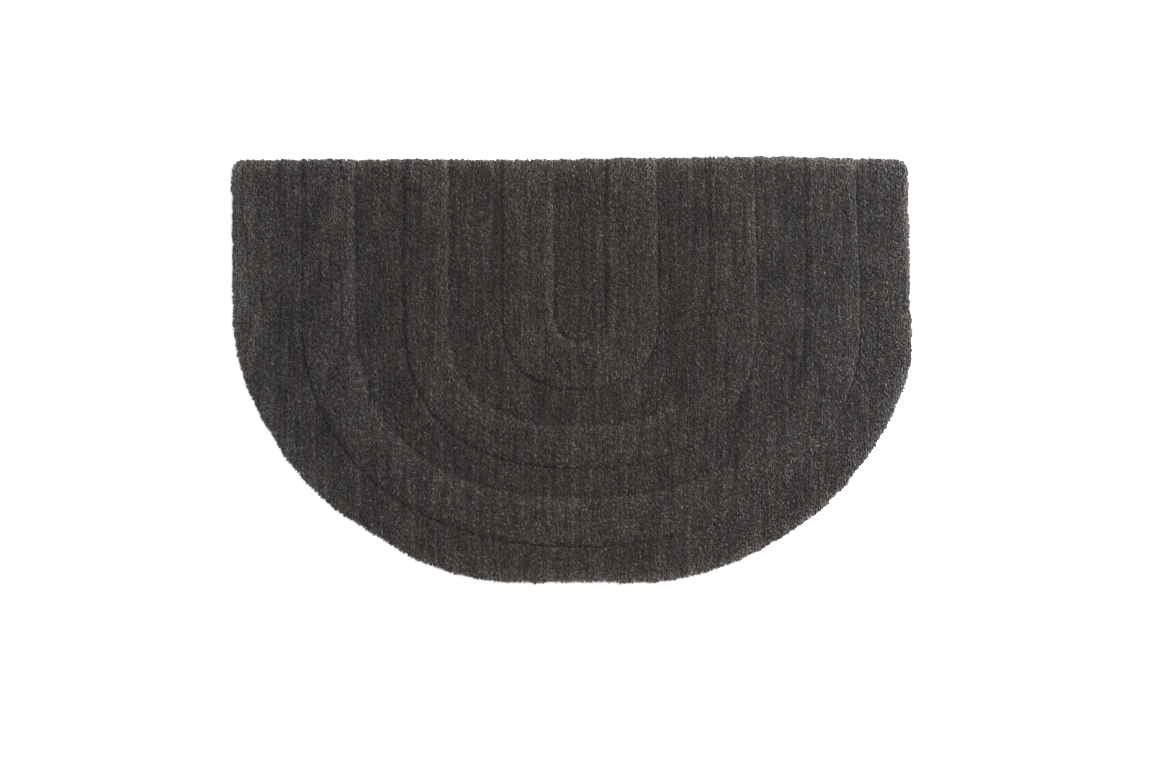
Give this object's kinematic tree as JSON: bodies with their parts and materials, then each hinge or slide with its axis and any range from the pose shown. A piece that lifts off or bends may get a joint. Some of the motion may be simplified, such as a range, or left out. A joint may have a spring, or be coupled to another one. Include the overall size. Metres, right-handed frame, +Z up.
{
  "type": "doormat",
  "caption": "Half-round pile doormat with nested arch bands cut to two heights, lying flat.",
  "frame": {"origin": "centre of the mat's bounding box, on the floor", "axes": "+X along the straight edge to the right, +Y from the round foot towards the straight edge, +Z up out of the pile"},
  "size_m": [0.8, 0.5002, 0.0147],
  "materials": {
    "pile": "heathered charcoal wool pile in short upright tufts, matte, mottled warm and cool grey"
  },
  "bodies": {
    "root": {"mat": "pile"}
  },
  "joints": []
}
